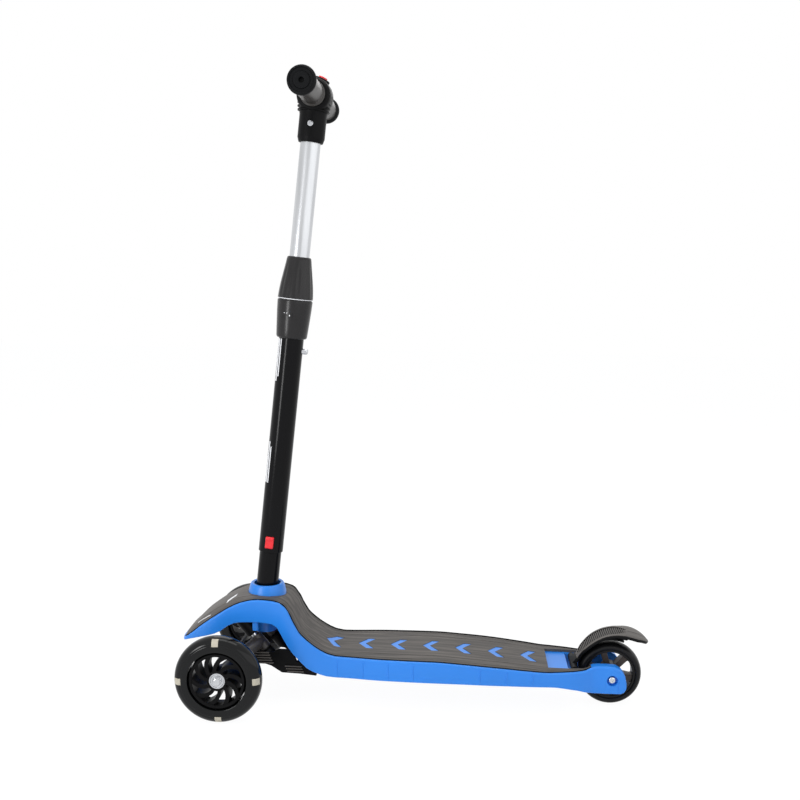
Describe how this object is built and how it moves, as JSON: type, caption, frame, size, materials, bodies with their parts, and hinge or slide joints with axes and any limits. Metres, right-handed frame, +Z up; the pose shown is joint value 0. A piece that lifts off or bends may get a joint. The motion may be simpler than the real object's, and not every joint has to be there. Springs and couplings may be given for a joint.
{
  "type": "three wheel kids scooter",
  "caption": "Child's scooter with two lean-steered front wheels, a telescopic T-bar on a blue deck and a rear wheel under a foot brake.",
  "frame": {"origin": "on the floor, under the middle of the whole scooter's length and width", "axes": "+X forwards to the two front wheels, +Y to the rider's left, +Z up from the floor"},
  "size_m": [0.6656, 0.258, 0.8743],
  "materials": {
    "blue_shell": "satin",
    "mat_rubber": "matte",
    "cover_plastic": "satin",
    "black_plastic": "satin",
    "grey_plastic": "satin",
    "black_paint": "gloss",
    "silver_tube": "polished",
    "steel": "satin",
    "red_plastic": "gloss",
    "front_tyre": "gloss",
    "rear_tyre": "satin",
    "lamp_plastic": "satin",
    "black_rubber": "matte",
    "grip_rubber": "matte"
  },
  "bodies": {
    "deck": {"deck_shell": "blue_shell", "deck_mat": "mat_rubber", "nose_cover": "cover_plastic", "stem_collar": "blue_shell", "steering_bracket": "black_plastic", "bracket_screw_1": "steel", "bracket_screw_2": "steel", "bracket_screw_3": "steel", "bracket_screw_4": "steel", "kingpin_left": "steel", "kingpin_right": "steel", "steer_rubber_left": "black_rubber", "steer_rubber_right": "black_rubber", "rear_axle_bolt": "steel", "rear_axle_nut": "steel", "rear_spacer_left": "steel", "rear_spacer_right": "steel", "fender_pin": "steel", "lower_post": "black_paint", "post_bolt": "steel", "post_nut": "steel"},
    "knuckle_left": {"knuckle_left": "grey_plastic", "axle_bolt_left": "steel", "axle_cap_left": "steel"},
    "knuckle_right": {"knuckle_right": "grey_plastic", "axle_bolt_right": "steel", "axle_cap_right": "steel"},
    "front_wheel_left": {"front_tyre_left": "front_tyre", "lamp_ring_left": "lamp_plastic", "front_hub_left": "black_plastic", "bearing_outer_left": "steel", "bearing_inner_left": "steel"},
    "front_wheel_right": {"front_tyre_right": "front_tyre", "lamp_ring_right": "lamp_plastic", "front_hub_right": "black_plastic", "bearing_outer_right": "steel", "bearing_inner_right": "steel"},
    "tie_rod": {"tie_rod": "grey_plastic"},
    "rear_wheel": {"rear_tyre": "rear_tyre", "rear_hub": "black_plastic", "rear_bearing_left": "steel", "rear_bearing_right": "steel"},
    "fender": {"fender": "cover_plastic", "brake_pad": "black_rubber"},
    "stem_tube": {"outer_tube": "black_paint", "lower_collar": "grey_plastic"},
    "release_button": {"release_button": "red_plastic"},
    "snap_pin": {"snap_pin": "steel"},
    "twist_collar": {"twist_collar": "grey_plastic"},
    "bar_stem": {"inner_tube": "silver_tube", "tee_piece": "black_plastic", "tee_bolt": "steel", "tee_nut": "steel"},
    "head_button": {"head_button": "red_plastic"},
    "handle_left": {"handlebar_left": "silver_tube", "grip_left": "grip_rubber", "end_plug_left": "black_plastic"},
    "handle_right": {"handlebar_right": "silver_tube", "grip_right": "grip_rubber", "end_plug_right": "black_plastic"}
  },
  "joints": [
    {"name": "knuckle_left_steer", "type": "hinge", "parent": "deck", "child": "knuckle_left", "pos_m": [0.2208, 0.032, 0.082], "axis": [0.6428, 0, 0.766], "range_deg": [-12, 12], "stiffness_Nm_per_rad": 60},
    {"name": "knuckle_right_steer", "type": "hinge", "parent": "deck", "child": "knuckle_right", "pos_m": [0.2208, -0.032, 0.082], "axis": [0.6428, 0, 0.766], "range_deg": [-12, 12], "stiffness_Nm_per_rad": 60},
    {"name": "tie_rod_swing", "type": "hinge", "parent": "knuckle_left", "child": "tie_rod", "pos_m": [0.24302, 0.032, 0.06336], "axis": [0.6428, 0, 0.766], "range_deg": [-12, 12]},
    {"name": "front_wheel_left_spin", "type": "hinge", "parent": "knuckle_left", "child": "front_wheel_left", "pos_m": [0.2608, 0.116, 0.06], "axis": [0, 1, 0], "continuous": true},
    {"name": "front_wheel_right_spin", "type": "hinge", "parent": "knuckle_right", "child": "front_wheel_right", "pos_m": [0.2608, -0.116, 0.06], "axis": [0, 1, 0], "continuous": true},
    {"name": "rear_wheel_spin", "type": "hinge", "parent": "deck", "child": "rear_wheel", "pos_m": [-0.2792, 0, 0.045], "axis": [0, 1, 0], "continuous": true},
    {"name": "fender_brake", "type": "hinge", "parent": "deck", "child": "fender", "pos_m": [-0.2277, 0, 0.0555], "axis": [0, 1, 0], "range_deg": [-5, 0], "stiffness_Nm_per_rad": 2, "springref_deg": 5.73},
    {"name": "stem_lift_off", "type": "slide", "parent": "deck", "child": "stem_tube", "axis": [-0.0976, 0, 0.9952], "range_m": [0, 0.1]},
    {"name": "release_button_press", "type": "slide", "parent": "stem_tube", "child": "release_button", "axis": [0, -1, 0], "range_m": [0, 0.0025], "stiffness_N_per_m": 1200, "springref_m": -0.001},
    {"name": "snap_pin_press", "type": "slide", "parent": "stem_tube", "child": "snap_pin", "axis": [0.9952, 0, 0.0976], "range_m": [0, 0.006], "stiffness_N_per_m": 600, "springref_m": -0.002},
    {"name": "collar_twist", "type": "hinge", "parent": "stem_tube", "child": "twist_collar", "pos_m": [0.17389, 0, 0.59485], "axis": [-0.0976, 0, 0.9952], "range_deg": [0, 75]},
    {"name": "bar_height", "type": "slide", "parent": "stem_tube", "child": "bar_stem", "axis": [-0.0976, 0, 0.9952], "range_m": [-0.12, 0.035]},
    {"name": "head_button_press", "type": "slide", "parent": "bar_stem", "child": "head_button", "axis": [0.4057, 0, -0.914], "range_m": [0, 0.0025], "stiffness_N_per_m": 1200, "springref_m": -0.001},
    {"name": "handle_left_pull", "type": "slide", "parent": "bar_stem", "child": "handle_left", "axis": [0, 1, 0], "range_m": [0, 0.025]},
    {"name": "handle_right_pull", "type": "slide", "parent": "bar_stem", "child": "handle_right", "axis": [0, -1, 0], "range_m": [0, 0.025]}
  ],
  "couplings": [
    {"joint": "knuckle_right_steer", "follows": "knuckle_left_steer", "ratio": 1},
    {"joint": "tie_rod_swing", "follows": "knuckle_left_steer", "ratio": -1}
  ]
}
